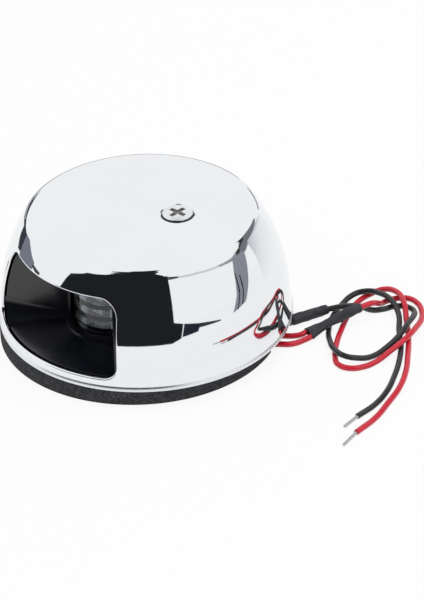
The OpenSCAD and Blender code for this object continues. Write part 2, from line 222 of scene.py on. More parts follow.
def station(place, ahead, wide, high, turn=0.0):
    """Matrix that puts a unit ring at a place, square to the way ahead."""
    side = ahead.cross(Vector((0, 0, 1))).normalized()
    rise = side.cross(ahead).normalized()
    axes = Matrix((side, rise, ahead)).transposed().to_4x4()
    axes.translation = place
    sizes = Matrix.Diagonal((wide, high, 1, 1))
    return axes @ sizes @ Matrix.Rotation(turn, 4, "Z")


def loft(bm, stations, ring):
    """Extrudes a ring of edges that lies at the first station through the others."""
    for before, after in zip(stations, stations[1:]):
        grown = bmesh.ops.extrude_edge_only(bm, edges=ring)["geom"]
        moved = [g for g in grown if isinstance(g, bmesh.types.BMVert)]
        bmesh.ops.transform(bm, matrix=after @ before.inverted(), verts=moved)
        ring = [g for g in grown if isinstance(g, bmesh.types.BMEdge) and g.is_boundary]
    bmesh.ops.holes_fill(bm, edges=bm.edges, sides=0)
    bmesh.ops.recalc_face_normals(bm, faces=bm.faces)


def as_mesh(bm, name):
    """A mesh with the shape of a bmesh, which is freed."""
    mesh = bpy.data.meshes.new(name)
    bm.to_mesh(mesh)
    bm.free()
    return mesh


def finished(bm, name, sharp=40):
    """A piece in metres from a mesh in mm, shaded smooth up to a sharp angle in degrees."""
    bmesh.ops.scale(bm, vec=(MM, MM, MM), verts=bm.verts)
    mesh = as_mesh(bm, name)
    mesh.shade_smooth()
    mesh.set_sharp_from_angle(angle=math.radians(sharp))
    print(name, "has", len(mesh.polygons), "faces")
    return linked(name, mesh)


# %% [markdown]
# A sleeve's mouth is a shallow dish with a rounded lip, and its other end closes on the
# lead. Shrinking leaves soft wrinkles and lumps, so the finished loft is pushed in and
# out along its normals by a smooth noise.

# %% Splice sleeves
SLEEVE_SIDES = 40
SLEEVE_STEPS = 9
WRINKLE = 0.16
WRINKLE_MEAN = 0.35
LUMP_LENGTH = 1.7
RED_SLEEVE = [
    (36.4, 26, 1.5), (37.1, 28.7, 2.1), (38, 31, 2.9), (38.8, 35.2, 3.6), (40.2, 38.4, 4.6),
    (41, 41.5, 4.9),
]
RED_SLEEVE_HALF = [(2.6, 1.4), (1.9, 1.3), (1.25, 1.2), (1.5, 1.5), (1.5, 1.5), (1.3, 1.3)]
BLACK_SLEEVE = [(28.1, 27.4, 1.5), (30.1, 32.8, 1.7), (31.2, 35.3, 2), (32.5, 37.5, 2.4)]
BLACK_SLEEVE_HALF = [(1.9, 1.4), (1.6, 1.5), (1.5, 1.45), (1.3, 1.3)]
MOUTH = [(0.5, 0.72), (0.08, 0.86), (0.0, 0.93), (0.12, 1.0)]
GRIP = [(0.25, 0.97), (0.0, 0.8), (0.0, 0.6)]


def sleeve(name, route, halves):
    """A shrunk sleeve along a route, with the half width and half height at each point."""
    line = flowing([Vector(p) for p in route], SLEEVE_STEPS)
    sizes = flowing([Vector((w, h, 0)) for w, h in halves], SLEEVE_STEPS)
    first = (line[1] - line[0]).normalized()
    last = (line[-1] - line[-2]).normalized()
    stations = [station(line[0] + first * d, first, sizes[0].x * k, sizes[0].y * k) for d, k in MOUTH]
    for i in range(1, len(line) - 1):
        ahead = (line[i + 1] - line[i - 1]).normalized()
        stations.append(station(line[i], ahead, sizes[i].x, sizes[i].y))
    stations += [station(line[-1] - last * d, last, sizes[-1].x * k, sizes[-1].y * k) for d, k in GRIP]
    bm = bmesh.new()
    bmesh.ops.create_circle(bm, radius=1, segments=SLEEVE_SIDES, matrix=stations[0])
    loft(bm, stations, bm.edges[:])
    for v in bm.verts:
        v.co += v.normal * WRINKLE * (noise.noise(v.co / LUMP_LENGTH) - WRINKLE_MEAN)
    return finished(bm, name, sharp=60)


red_sleeve = sleeve("red_sleeve", RED_SLEEVE, RED_SLEEVE_HALF)
black_sleeve = sleeve("black_sleeve", BLACK_SLEEVE, BLACK_SLEEVE_HALF)

# %% [markdown]
# The stripped ends are seven tinned strands twisted together and dipped in solder. A ring
# with seven soft lobes, turned a little at each station of the loft, gives the twist
# without modelling the strands one by one.

# %% Tinned ends
TIP_RADIUS = 0.45
TIP_STEPS = 12
TIP_BLUNT = 0.12
TIP_BLUNT_R = 0.72 * TIP_RADIUS
STRANDS = 7
STRAND_SIDES = 6
LOBE_DEPTH = 0.09
TWIST_PER_MM = math.radians(42)
RED_TIP = [(78, 2, 0.85), (78.7, -1.1, 0.7), (79.4, -4.2, 0.6)]
BLACK_TIP = [(73, 7.5, 0.85), (73.3, 4.7, 0.7), (73.6, 2, 0.6)]


def tinned_end(name, route):
    """A twisted bundle of tinned strands along a route, blunt at its end."""
    line = flowing([Vector(p) for p in route], TIP_STEPS)
    stations, run = [], 0.0
    for i, place in enumerate(line):
        ahead = (line[min(i + 1, len(line) - 1)] - line[max(i - 1, 0)]).normalized()
        run += (place - line[max(i - 1, 0)]).length
        stations.append(station(place, ahead, TIP_RADIUS, TIP_RADIUS, run * TWIST_PER_MM))
    blunt = station(line[-1] + ahead * TIP_BLUNT, ahead, TIP_BLUNT_R, TIP_BLUNT_R, run * TWIST_PER_MM)
    bm = bmesh.new()
    bmesh.ops.create_circle(bm, radius=1, segments=STRANDS * STRAND_SIDES)
    for v in bm.verts:
        v.co *= 1 - LOBE_DEPTH * (1 - math.cos(STRANDS * math.atan2(v.co.y, v.co.x)))
    bmesh.ops.transform(bm, matrix=stations[0], verts=bm.verts)
    loft(bm, stations + [blunt], bm.edges[:])
    return finished(bm, name, sharp=50)


red_tip = tinned_end("red_tinned_strands", RED_TIP)
black_tip = tinned_end("black_tinned_strands", BLACK_TIP)

# %% [markdown]
# Every piece rides on a CAD body and stands for the CAD nodes it replaces, which are
# hidden. One small helper does both. The leads and their tails are then fitted to the base.

# %% Cords fitted
def fit(piece, body, slot, *nodes):
    """Makes a piece ride a body and stand for CAD nodes. The slot is not used."""
    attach(piece, body)
    if nodes:
        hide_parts(*nodes)
    return piece


fit(red_lead, "base", "red_pvc", "red_supply_lead")
fit(black_lead, "base", "black_pvc", "black_supply_lead")
fit(red_sleeve, "base", "shrink_sleeve", "red_splice_sleeve")
fit(black_sleeve, "base", "shrink_sleeve", "black_splice_sleeve")
fit(red_tip, "base", "tinned_copper", "red_tinned_end")
fit(black_tip, "base", "tinned_copper", "black_tinned_end")
fit(tails["red_tail_near"], "base", "red_pvc", "red_tail_a")
fit(tails["red_tail_far"], "base", "red_pvc", "red_tail_b")
fit(tails["black_tail_near"], "base", "black_pvc", "black_tail_a")
fit(tails["black_tail_far"], "base", "black_pvc", "black_tail_b")
print("cords:", red_lead.name, black_lead.name, *tails)

# %% [markdown]
# Materials need a few helpers. Colours are written as sRGB hex values, as a paint chart
# gives them, and turned to the linear values that shaders expect. One function adds a node
# with its settings and links, and one starts a material whose constant values sit directly
# on the shader's own sockets. A pattern's size is given in millimetres, and the last helper
# turns it into the scale that a texture node takes.

# %% Material helpers
def srgb(code):
    """Linear RGBA of a hex colour."""
    parts = [int(code[i:i + 2], 16) / 255 for i in (1, 3, 5)]
    return [c / 12.92 if c <= 0.04045 else ((c + 0.055) / 1.055) ** 2.4 for c in parts] + [1.0]


def put(tree, kind, feeds=(), **settings):
    """Adds a node. Settings are its own fields, feeds fill its sockets by value or link."""
    node = tree.nodes.new(kind)
    for field, value in settings.items():
        setattr(node, field, value)
    for socket, value in dict(feeds).items():
        if isinstance(value, bpy.types.NodeSocket):
            tree.links.new(value, node.inputs[socket])
        else:
            node.inputs[socket].default_value = value
    return node


def start(name, fixed):
    """A new material, its node tree, its shader and its Object coordinates."""
    material = bpy.data.materials.new(name)
    material.use_nodes = True
    tree = material.node_tree
    shader = tree.nodes["Principled BSDF"]
    for socket, value in fixed.items():
        shader.inputs[socket].default_value = value
    place = put(tree, "ShaderNodeTexCoord").outputs["Object"]
    return material, tree, shader, place


def per_mm(size):
    """Texture scale at which one pattern cell is that many millimetres wide."""
    return 1 / (size * MM)


# %% [markdown]
# Most of the plastics, rubber and metals here share one build: a coarse noise mottles the
# colour between two close tones and lets the roughness vary with it, as handling does, and
# a fine noise gives the bump of the moulded or drawn surface. Only the numbers differ, so
# one function makes them all, and the special finishes get their own cells.

# %% Mottled finish
PATCH_GRAINS = 8
NOISE_RANGE = (0.3, 0.7)


def mottled(name, tones, grain, rough, bump, fixed):
    """Two tones, a grain size in mm, a roughness range and a bump height in mm."""
    material, tree, shader, place = start(name, fixed)
    patch = put(tree, "ShaderNodeTexNoise",
                {"Vector": place, "Scale": per_mm(grain * PATCH_GRAINS), "Detail": 4.0})
    blend = put(tree, "ShaderNodeMix",
                {"Factor": patch.outputs["Fac"], "A": srgb(tones[0]), "B": srgb(tones[1])}, data_type="RGBA")
    tree.links.new(blend.outputs["Result"], shader.inputs["Base Color"])
    wear = put(tree, "ShaderNodeMapRange",
               {"Value": patch.outputs["Fac"], "From Min": NOISE_RANGE[0], "From Max": NOISE_RANGE[1],
                "To Min": rough[0], "To Max": rough[1]})
    tree.links.new(wear.outputs["Result"], shader.inputs["Roughness"])
    fine = put(tree, "ShaderNodeTexNoise", {"Vector": place, "Scale": per_mm(grain), "Detail": 3.0})
    relief = put(tree, "ShaderNodeBump",
                 {"Height": fine.outputs["Fac"], "Distance": bump * MM, "Strength": 1.0})
    tree.links.new(relief.outputs["Normal"], shader.inputs["Normal"])
    return material


def paint(material, *pieces):
    """Gives pieces one material in their first slot."""
    for piece in pieces:
        piece.data.materials.clear()
        piece.data.materials.append(material)
    print(material.name, "on", ", ".join(piece.name for piece in pieces))


# %% [markdown]
# The leads are covered in extruded PVC. It is a soft plastic with a satin skin, so it
# shows one broad highlight along its length and no sharp reflection. The sleeves are
# shrunk polyolefin, duller and greyer. The tinned strands are solder grey and half bright.

# %% Lead finishes
red_pvc = mottled("red_pvc_insulation", ("#C8152E", "#D02238"), 1.2, (0.2, 0.28), 0.001, {"IOR": 1.53})
black_pvc = mottled("black_pvc_insulation", ("#222326", "#2B2C30"), 1.2, (0.2, 0.28), 0.001, {"IOR": 1.53})
shrink = mottled("shrunk_polyolefin", ("#26272C", "#3A3C43"), 0.6, (0.5, 0.68), 0.05, {"IOR": 1.5})
tinned = mottled("tinned_copper", ("#BDBEC0", "#D6D7D8"), 0.3, (0.28, 0.45), 0.02, {"Metallic": 1.0})
paint(red_pvc, red_lead, tails["red_tail_near"], tails["red_tail_far"])
paint(black_pvc, black_lead, tails["black_tail_near"], tails["black_tail_far"])
paint(shrink, red_sleeve, black_sleeve)
paint(tinned, red_tip, black_tip)

# %% [markdown]
# The cap is spun or pressed from stainless sheet and polished like a mirror, so its shape
# is read from reflections alone, and any unevenness in the mesh shows. It is built in
# two steps. First its wall is drawn flat, as a grid of arc length against height, and the
# window is opened there, where a rounded rectangle is easy. Then every point is rolled
# onto the wall's exact outline: a tapered skirt that runs into a wide arc. The foot, the
# rim and the flat top lie where the CAD node has them.

# %% Cap outline
def box_mm(node):
    """The lowest and the highest corner of a CAD node, in mm."""
    return [[round(x / MM, 3) for x in corner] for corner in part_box(node)]


cover_low, cover_high = box_mm("cover")
BASE_Z = cover_low[2]
RIM_R = cover_high[0]
COVER_HEIGHT = cover_high[2]
COVER_WALL = 0.8
CORNER_R = 2.2
WALL_R = RIM_R - 0.3
WALL_LOW = BASE_Z + 1.2
FOOT_Z = BASE_Z + 1.5
TAPER = math.radians(3.8)
ARC_START_Z = 13.0
ARC_START_R = WALL_R - (ARC_START_Z - WALL_LOW) * math.tan(TAPER)
ARC_R = 47.3
ARC_X = ARC_START_R - ARC_R * math.cos(TAPER)
ARC_Z = ARC_START_Z - ARC_R * math.sin(TAPER)
CORNER_Z = COVER_HEIGHT - CORNER_R
CORNER_X = ARC_X + math.sqrt((ARC_R - CORNER_R) ** 2 - (CORNER_Z - ARC_Z) ** 2)
CORNER_A = math.atan2(CORNER_Z - ARC_Z, CORNER_X - ARC_X)
WALL_TOP = ARC_Z + ARC_R * math.sin(CORNER_A)


def wall_radius(z):
    """Outer radius of the cap's wall at a height."""
    if z <= ARC_START_Z:
        return WALL_R - (z - WALL_LOW) * math.tan(TAPER)
    return ARC_X + math.sqrt(ARC_R ** 2 - (z - ARC_Z) ** 2)


def round_axis(co, radius, z):
    """The point at the same azimuth as co, at another radius and height."""
    azimuth = math.atan2(co.x, -co.y)
    return Vector((math.sin(azimuth) * radius, -math.cos(azimuth) * radius, z))


print("the wall's arc meets the corner at z", round(WALL_TOP, 2), "and r", round(wall_radius(WALL_TOP), 2))

# %% [markdown]
# The window's edge is found by pulling the ring of the grid's opening onto a rounded
# rectangle. For a point outside a rounded rectangle the nearest point of its edge is simple:
# clamp the point to the rectangle of the corner centres, then step out by the radius.

# %% Window in the flat
COLUMNS = 192
ROWS = 40
MEAN_R = 36.5
WINDOW_SPAN = MEAN_R * math.radians(35.6)
WINDOW_LOW = 8.3
WINDOW_HIGH = 30.2
WINDOW_TOP_R = 5.0
WINDOW_LOW_R = 3.5
WINDOW_MARGIN = 0.85


def onto_window(co, margin):
    """The nearest point of the window's outline, grown by a margin, in the flat."""
    low_half = co.y < (WINDOW_LOW + WINDOW_HIGH) / 2
    radius = WINDOW_LOW_R if low_half else WINDOW_TOP_R
    inner = Vector((
        max(-WINDOW_SPAN + radius, min(WINDOW_SPAN - radius, co.x)),
        max(WINDOW_LOW + radius, min(WINDOW_HIGH - radius, co.y)),
        0,
    ))
    return inner + (co - inner).normalized() * (radius + margin)


def new_ring(bm, ring, place):
    """Extrudes a ring of edges, puts each new vertex at place(its point), returns the ring."""
    grown = bmesh.ops.extrude_edge_only(bm, edges=ring)["geom"]
    for g in grown:
        if isinstance(g, bmesh.types.BMVert):
            g.co = place(g.co)
    return [g for g in grown if isinstance(g, bmesh.types.BMEdge) and g.is_boundary]


def flat_wall():
    """The wall as a flat grid, arc length across and height up, with the window open."""
    bm = bmesh.new()
    bmesh.ops.create_grid(bm, x_segments=COLUMNS, y_segments=ROWS, size=0.5)
    for v in bm.verts:
        v.co.x *= math.tau * MEAN_R
        v.co.y = FOOT_Z + (v.co.y + 0.5) * (WALL_TOP - FOOT_Z)
    column = math.tau * MEAN_R / COLUMNS
    row = (WALL_TOP - FOOT_Z) / ROWS
    opening = [
        f for f in bm.faces
        if abs(f.calc_center_median().x) < WINDOW_SPAN + column
        and WINDOW_LOW - row < f.calc_center_median().y < WINDOW_HIGH + row
    ]
    bmesh.ops.delete(bm, geom=opening, context="FACES")
    half = math.pi * MEAN_R - column / 2
    ring = [
        e for e in bm.edges if e.is_boundary
        and all(abs(v.co.x) < half and FOOT_Z + row / 2 < v.co.y < WALL_TOP - row / 2 for v in e.verts)
    ]
    for margin in (WINDOW_MARGIN, 0.0):
        ring = new_ring(bm, ring, lambda co: onto_window(co, margin))
    return bm


# %% [markdown]
# A mirror shows the shading normals, not the faces. The outline is known exactly, so the
# true normal at any point of the outer skin is known too, and the finished mesh takes it
# over vertex by vertex. Off the skin the function gives a zero vector, with which Blender
# keeps the normal that it works out itself.

# %% Outer skin
SKIN_DEPTH = 0.02


def skin_normal(co):
    """The outline's normal at a point in mm of the outer skin, or zero off the skin."""
    r = math.hypot(co.x, co.y)
    azimuth = math.atan2(co.x, -co.y)
    if FOOT_Z - 1e-3 <= co.z <= WALL_TOP and abs(r - wall_radius(co.z)) < SKIN_DEPTH:
        if co.z <= ARC_START_Z:
            return heading(azimuth, TAPER)
        return heading(azimuth, math.atan2(co.z - ARC_Z, r - ARC_X))
    if co.z > WALL_TOP and r > CORNER_X:
        tilt = math.atan2(co.z - CORNER_Z, r - CORNER_X)
        if abs(math.hypot(co.z - CORNER_Z, r - CORNER_X) - CORNER_R) < SKIN_DEPTH:
            return heading(azimuth, tilt)
    if co.z > COVER_HEIGHT - 1e-3:
        return Vector((0, 0, 1))
    return Vector((0, 0, 0))


# %% [markdown]
# Rolled up and merged at its seam, the wall gets its lip below and its rounded corner and
# flat top above, ring by ring. The flat top runs in to the screw, where the sheet is drawn
# down a little and then pressed into a countersunk dimple. Solidify gives the sheet its
# thickness, and a bevel rounds the cut edges, the outer ones more than the inner ones. That
# is what makes the thin bright line round the window.

# %% Cap mesh
screw_low, screw_high = box_mm("cover_screw")
SCREW_AT = Vector(((screw_low[0] + screw_high[0]) / 2, (screw_low[1] + screw_high[1]) / 2, 0))
LIP = [(RIM_R - 0.2, 6.28), (RIM_R - 0.06, 5.97), (RIM_R, 5.7), (RIM_R, 5.3), (RIM_R - 0.2, BASE_Z)]
CORNER_STEPS = 10
DENT_R = 10.0
DIMPLE_LOW = 34.4
DIMPLE_HOLE_R = 2.45
DIMPLE = [
    (DENT_R, COVER_HEIGHT), (8.5, 36.597), (7.0, 36.59), (6.0, 36.58), (5.2, 36.568), (4.85, 36.545),
    (4.65, 36.495), (4.5, 36.42), (4.35, 36.3), (DIMPLE_HOLE_R, DIMPLE_LOW), (DIMPLE_HOLE_R, 33.65),
]
CUT_ANGLE = math.radians(50)
EDGE_ROUND = 0.5
INNER_ROUND = 0.08


def round_screw(co, radius, z):
    """The point round the screw at co's own angle, taken round the cap for the first ring."""
    out = (co - SCREW_AT) if z < COVER_HEIGHT else co
    angle = math.atan2(out.y, out.x)
    return SCREW_AT + Vector((math.cos(angle) * radius, math.sin(angle) * radius, z))


def ring_at(bm, z):
    """The open ring of edges that lies at a height."""
    return [e for e in bm.edges if e.is_boundary and all(abs(v.co.z - z) < 1e-4 for v in e.verts)]


def cap_mesh():
    """The whole cap as a closed sheet of metal, in millimetres."""
    bm = flat_wall()
    for v in bm.verts:
        azimuth, z = v.co.x / MEAN_R, v.co.y
        v.co = heading(azimuth, 0) * wall_radius(z) + Vector((0, 0, z))
    bmesh.ops.remove_doubles(bm, verts=bm.verts, dist=1e-4)
    ring = ring_at(bm, FOOT_Z)
    for radius, z in LIP:
        ring = new_ring(bm, ring, lambda co: round_axis(co, radius, z))
    ring = ring_at(bm, WALL_TOP)
    for i in range(1, CORNER_STEPS + 1):
        a = CORNER_A + (math.pi / 2 - CORNER_A) * i / CORNER_STEPS
        radius, z = CORNER_X + CORNER_R * math.cos(a), CORNER_Z + CORNER_R * math.sin(a)
        ring = new_ring(bm, ring, lambda co: round_axis(co, radius, z))
    for radius, z in DIMPLE:
        ring = new_ring(bm, ring, lambda co: round_screw(co, radius, z))
    bmesh.ops.recalc_face_normals(bm, faces=bm.faces)
    bmesh.ops.solidify(bm, geom=bm.faces[:], thickness=COVER_WALL)
    cut = [e for e in bm.edges if e.is_manifold and e.calc_face_angle() > CUT_ANGLE]
    skin = [e for e in cut if all(skin_normal(v.co).length > 0 for v in e.verts)]
    inner = [e for e in cut if e not in skin]
    for edges, width in ((skin, EDGE_ROUND), (inner, INNER_ROUND)):
        bmesh.ops.bevel(bm, geom=edges, offset=width, offset_type="OFFSET", affect="EDGES",
                        segments=4, profile=0.5, material=-1, clamp_overlap=True)
    return bm


cap = finished(cap_mesh(), "polished_cap", sharp=180)
cap.data.normals_split_custom_set_from_vertices([skin_normal(v.co / MM) for v in cap.data.vertices])
fit(cap, "cap", "polished_steel", "cover")
print("cap box", [round(x / MM, 2) for x in cap.dimensions])

# %% [markdown]
# Polished stainless steel reflects a little over four fifths of the light, nearly without
# tint. A buffed surface still has faint haze and hairlines where a cloth has been, so the
# roughness wanders between mirror and nearly mirror, along long fine lines. Real hairlines
# are microns wide, and here they are drawn coarse enough to show at all.

# %% Polished steel
HAZE = 14
HAIRLINE = 0.35
HAIR_STRETCH = (0.05, 1.0, 1.0)
HAIR_TURN = (0, 0, 0.7)
WIPE_RANGE = (0.15, 0.45)


def polished_steel(name, tones, rough):
    """Mirror steel between two tones, with haze patches and hairlines."""
    material, tree, shader, place = start(name, {"Metallic": 1.0})
    haze = put(tree, "ShaderNodeTexNoise", {"Vector": place, "Scale": per_mm(HAZE), "Detail": 5.0})
    blend = put(tree, "ShaderNodeMix",
                {"Factor": haze.outputs["Fac"], "A": srgb(tones[0]), "B": srgb(tones[1])}, data_type="RGBA")
    tree.links.new(blend.outputs["Result"], shader.inputs["Base Color"])
    stretch = put(tree, "ShaderNodeMapping",
                  {"Vector": place, "Scale": HAIR_STRETCH, "Rotation": HAIR_TURN})
    hair = put(tree, "ShaderNodeTexNoise",
               {"Vector": stretch.outputs["Vector"], "Scale": per_mm(HAIRLINE), "Detail": 2.0})
    wipe = put(tree, "ShaderNodeMath",
               {0: haze.outputs["Fac"], 1: hair.outputs["Fac"]}, operation="MULTIPLY")
    wear = put(tree, "ShaderNodeMapRange",
               {"Value": wipe.outputs["Value"], "From Min": WIPE_RANGE[0], "From Max": WIPE_RANGE[1],
                "To Min": rough[0], "To Max": rough[1]})
    tree.links.new(wear.outputs["Result"], shader.inputs["Roughness"])
    return material


cap_steel = polished_steel("polished_stainless_steel", ("#E9EBEE", "#EEF0F2"), (0.02, 0.07))
paint(cap_steel, cap)

# %% [markdown]
# The rolled lip at the foot of the cap is satin, because a buffing wheel hardly gets down
# to it. Its dark reflections are soft for that reason. The height of a point decides, so
# the roughness goes up at one level all round.

# %% Satin lip
LIP_BLEND = 0.15
LIP_SATIN = 0.3


def satin_below(material, z):
    """Makes a polished material rougher below a height in mm."""
    tree = material.node_tree
    rough = tree.nodes["Principled BSDF"].inputs["Roughness"]
    place = put(tree, "ShaderNodeTexCoord").outputs["Object"]
    height = put(tree, "ShaderNodeSeparateXYZ", {"Vector": place})
    satin = put(tree, "ShaderNodeMapRange",
                {"Value": height.outputs["Z"], "From Min": (z - LIP_BLEND) * MM, "From Max": z * MM,
                 "To Min": LIP_SATIN, "To Max": 0.0})
    total = put(tree, "ShaderNodeMath",
                {0: rough.links[0].from_socket, 1: satin.outputs["Result"]}, operation="ADD")
    tree.links.new(total.outputs["Value"], rough)


satin_below(cap_steel, FOOT_Z)
print("the lip is satin below z", FOOT_Z)

# %% [markdown]
# The screw, its ring and the lens are round, so each is an outline that is spun round an
# axis. An outline is a few vertices and the edges between them. The helpers here spin one
# into a closed body, cut one body away from another, and round over hard edges, because no
# real part has a perfectly sharp one.

# %% Turning helpers
SPIN_STEPS = 96
HARD_ANGLE = math.radians(35)


def outline(bm, points, closed=False):
    """A chain of edges through points given as radius and height."""
    verts = [bm.verts.new((r, 0, z)) for r, z in points]
    pairs = list(zip(verts, verts[1:])) + ([(verts[-1], verts[0])] if closed else [])
    return verts + [bm.edges.new(pair) for pair in pairs]


def turned(points, closed=False):
    """A solid of revolution round Z from an outline of radius and height."""
    bm = bmesh.new()
    bmesh.ops.spin(bm, geom=outline(bm, points, closed), cent=(0, 0, 0), axis=(0, 0, 1),
                   angle=math.tau, steps=SPIN_STEPS, use_merge=True)
    bmesh.ops.remove_doubles(bm, verts=bm.verts, dist=1e-5)
    bmesh.ops.dissolve_degenerate(bm, edges=bm.edges, dist=1e-6)
    bmesh.ops.recalc_face_normals(bm, faces=bm.faces)
    return bm


def cut_away(body, cutter):
    """The body mesh less the cutter mesh, by an exact boolean."""
    pair = [linked("boolean", as_mesh(bm, "boolean")) for bm in (body, cutter)]
    saw = pair[0].modifiers.new("saw", "BOOLEAN")
    saw.object = pair[1]
    saw.solver = "EXACT"
    saw.use_self = True
    result = bmesh.new()
    result.from_mesh(pair[0].evaluated_get(bpy.context.evaluated_depsgraph_get()).to_mesh())
    for piece in pair:
        bpy.data.objects.remove(piece)
    return result


def ease(bm, width):
    """Rounds over the hard edges by a width in mm."""
    hard = [e for e in bm.edges if e.is_manifold and e.calc_face_angle() > HARD_ANGLE]
    bmesh.ops.bevel(bm, geom=hard, offset=width, offset_type="OFFSET", affect="EDGES",
                    segments=2, profile=0.5, material=-1, clamp_overlap=True)


# %% [markdown]
# The screw that holds the cap has a raised countersunk head with a cross recess. The recess
# is cut with a boolean, because the tapered blades of the punch meet the domed head at a
# slant. The walls that it leaves are marked face by face, so that the finish can paint them
# darker than the bright head, as painted shade.

# %% Screw recess
HEAD_R = (screw_high[0] - screw_low[0]) / 2
SHANK_R = 2.0
HEAD_RIM_Z = 36.686
HEAD_EDGE = 0.16
HEAD_DOME = 0.3
HEAD_TOP = HEAD_RIM_Z + HEAD_EDGE + HEAD_DOME
DOME_R = (HEAD_DOME ** 2 + HEAD_R ** 2) / (2 * HEAD_DOME)
DOME_Z = HEAD_TOP - DOME_R
SHANK_Z = HEAD_RIM_Z - (HEAD_R - SHANK_R)
RECESS_TURN = math.radians(3)
RECESS_TOP = (7.7, 1.9)
RECESS_FLOOR = (2.4, 0.7)
RECESS_UP = 2.0
RECESS_DOWN = 1.5
BELOW_DOME = 0.03
INSIDE_CONE = 0.3
INSIDE_RIM = 0.8


def recess_cutter():
    """Cross of two tapered blades."""
    bm = bmesh.new()
    top, low = HEAD_RIM_Z + RECESS_UP, HEAD_RIM_Z - RECESS_DOWN
    for k in range(2):
        turn = Matrix.Rotation(RECESS_TURN + k * math.pi / 2, 4, "Z")
        blade = bmesh.ops.create_cube(bm, size=1)["verts"]
        for v in blade:
            long, wide = RECESS_TOP if v.co.z > 0 else RECESS_FLOOR
            v.co = Vector((v.co.x * long, v.co.y * wide, top if v.co.z > 0 else low))
        bmesh.ops.transform(bm, matrix=turn, verts=blade)
    return bm


def in_recess(co):
    """1 for a point in mm well below the dome and well inside the head's cone and rim, else 0."""
    r = math.hypot(co.x, co.y)
    under_dome = SHANK_Z < co.z < DOME_Z + math.sqrt(DOME_R ** 2 - r ** 2) - BELOW_DOME
    cone = SHANK_R + co.z - SHANK_Z
    return float(under_dome and r < cone - INSIDE_CONE and r < HEAD_R - INSIDE_RIM)


# %% [markdown]
# The thread is a second spin: a small tooth that climbs one pitch per turn, which is what
# the operator's dvec setting does. The dome of the head is a mirror like the cap, so it
# takes its true normals over too.

# %% Screw
CORE_R = 1.6
TIP_Z = SHANK_Z - 9.7
TIP_CHAMFER = (0.5, 0.6)
NECK_LOW = 0.8
NECK_HIGH = 0.35
DOME_STEPS = 10
HEAD_EASE = 0.07
PITCH = 0.7
THREAD_FOOT = 0.5
THREAD_TURNS = 10.8
THREAD_STEPS = 40
TOOTH_SINK = 0.1
TOOTH_FLAT = (0.44 * PITCH, 0.56 * PITCH)


def screw_outline():
    """Radius and height of the screw's points, from the tip over the neck to the dome."""
    dome_a = math.asin(HEAD_R / DOME_R)
    turns = [dome_a * (1 - i / DOME_STEPS) for i in range(DOME_STEPS + 1)]
    dome = [(DOME_R * math.sin(a), HEAD_TOP - DOME_R * (1 - math.cos(a))) for a in turns]
    return [
        (0, TIP_Z), (CORE_R - TIP_CHAMFER[0], TIP_Z), (CORE_R, TIP_Z + TIP_CHAMFER[1]),
        (CORE_R, SHANK_Z - NECK_LOW), (SHANK_R, SHANK_Z - NECK_HIGH), (SHANK_R, SHANK_Z),
        (HEAD_R, HEAD_RIM_Z), *dome,
    ]


def screw_mesh():
    """Head, shank and thread in place, in millimetres."""
    bm = cut_away(turned(screw_outline()), recess_cutter())
    bmesh.ops.remove_doubles(bm, verts=bm.verts, dist=1e-4)
    ease(bm, HEAD_EASE)
    # The mask of the recess walls, which the finish paints darker as shade.
    sunk = bm.faces.layers.float.new("recess")
    for f in bm.faces:
        f[sunk] = in_recess(f.calc_center_median())
    foot = TIP_Z + THREAD_FOOT
    root = CORE_R - TOOTH_SINK
    tooth = outline(bm, [(root, foot), (SHANK_R, foot + TOOTH_FLAT[0]), (SHANK_R, foot + TOOTH_FLAT[1]),
                         (root, foot + PITCH)], closed=True)
    bmesh.ops.spin(bm, geom=tooth, cent=(0, 0, 0), axis=(0, 0, 1), angle=math.tau * THREAD_TURNS,
                   steps=int(THREAD_TURNS * THREAD_STEPS), dvec=(0, 0, PITCH / THREAD_STEPS))
    bmesh.ops.holes_fill(bm, edges=bm.edges, sides=0)
    bmesh.ops.recalc_face_normals(bm, faces=bm.faces)
    bmesh.ops.translate(bm, vec=SCREW_AT, verts=bm.verts)
    return bm


def dome_normal(co):
    """The dome's true normal at a point in mm on it, or zero off the dome."""
    out = co - SCREW_AT - Vector((0, 0, DOME_Z))
    on_dome = co.z > HEAD_RIM_Z and abs(out.length - DOME_R) < SKIN_DEPTH
    return out.normalized() if on_dome else Vector((0, 0, 0))


screw = fit(finished(screw_mesh(), "cap_screw", sharp=45), "screw", "screw_steel", "cover_screw")
screw.data.normals_split_custom_set_from_vertices([dome_normal(v.co / MM) for v in screw.data.vertices])

# %% [markdown]
# The screw is bright steel, tumbled and not buffed, so that it is soft where the cap is
# sharp. Its recess is painted a darker grey as shade, which makes the cross stand out.

# %% Screw finish
# The grey that is painted into the recess walls as shade.
RECESS_SHADE = "#828282"
screw_steel = polished_steel("bright_screw_steel", ("#E2E3E5", "#EDEEF0"), (0.18, 0.3))
steel_tree = screw_steel.node_tree
bright = steel_tree.nodes["Principled BSDF"].inputs["Base Color"]
inside = put(steel_tree, "ShaderNodeAttribute", attribute_name="recess").outputs["Fac"]
# The recess mask mixes the painted shade into the steel's colour.
painted_recess_shade = put(steel_tree, "ShaderNodeMix",
              {"Factor": inside, "A": bright.links[0].from_socket, "B": srgb(RECESS_SHADE)}, data_type="RGBA")
steel_tree.links.new(painted_recess_shade.outputs["Result"], bright)
paint(screw_steel, screw)

# %% [markdown]
# A thin rubber cone sits between the head and the dimple. From above it is only a dark line
# round the screw, but it is a closed ring all the same, with its four edges rounded. It fills
# the room between the two cones but for a hair on either side. Moulded rubber is dull, and a
# bloom on its skin turns the black to dark grey.

# %% Screw ring
RING_GAP = 0.07
RING_EASE = 0.06
CONE_ROOM = (DIMPLE_HOLE_R - DIMPLE_LOW) - (SHANK_R - SHANK_Z)
RING_LOW = DIMPLE_LOW + 0.55
RING_HIGH = COVER_HEIGHT - 0.2


